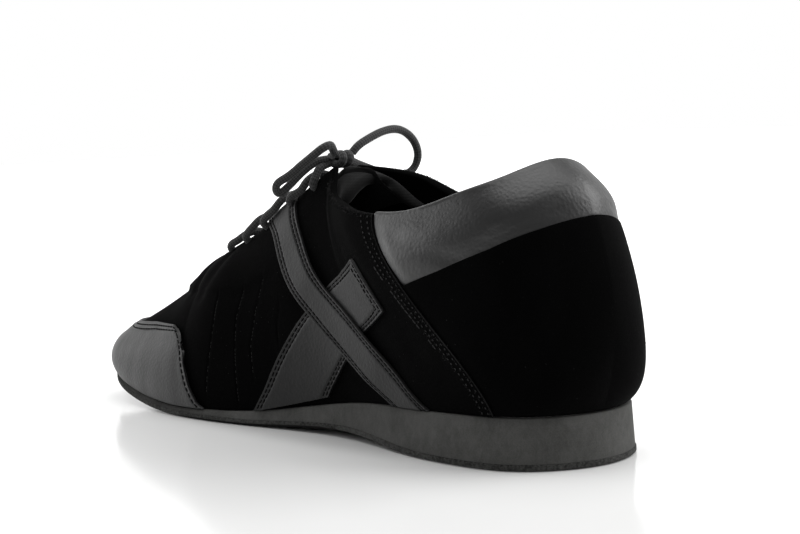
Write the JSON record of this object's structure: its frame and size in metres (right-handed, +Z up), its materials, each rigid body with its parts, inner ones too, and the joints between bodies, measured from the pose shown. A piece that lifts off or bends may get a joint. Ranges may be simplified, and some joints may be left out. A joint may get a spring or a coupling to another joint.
{
  "type": "dance sneaker",
  "caption": "Low black suede dance sneaker for the right foot, with a leather toe cap, collar and crossed side straps, a thin wedge sole and a round lace tied in a bow.",
  "frame": {"origin": "centre of the bounding box in plan, on the floor under the sole, the bow left out", "axes": "+X from heel to toe, +Y to the wearer's left, which is the inner side of this right shoe, +Z up"},
  "size_m": [0.295, 0.0958, 0.1154],
  "materials": {
    "outsole_rubber": "matte dark sheet",
    "foam_wedge": "matte fine-grained grey foam",
    "lining_fabric": "matte black lining",
    "upper_suede": "black suede with a short nap",
    "smooth_leather": "smooth black leather, satin",
    "tongue_fabric": "matte black textile",
    "lace_braid": "round braided cord"
  },
  "bodies": {
    "root": {"outsole": "outsole_rubber", "midsole": "foam_wedge", "insole": "lining_fabric", "upper": "upper_suede", "toe_cap": "smooth_leather", "heel_counter": "upper_suede", "collar": "smooth_leather", "strap_front_inner": "smooth_leather", "strap_front_outer": "smooth_leather", "strap_rear_inner": "smooth_leather", "strap_rear_outer": "smooth_leather", "tongue": "tongue_fabric", "lace": "lace_braid", "lace_knot": "lace_braid", "lace_loop_inner": "lace_braid", "lace_loop_outer": "lace_braid"}
  },
  "joints": []
}
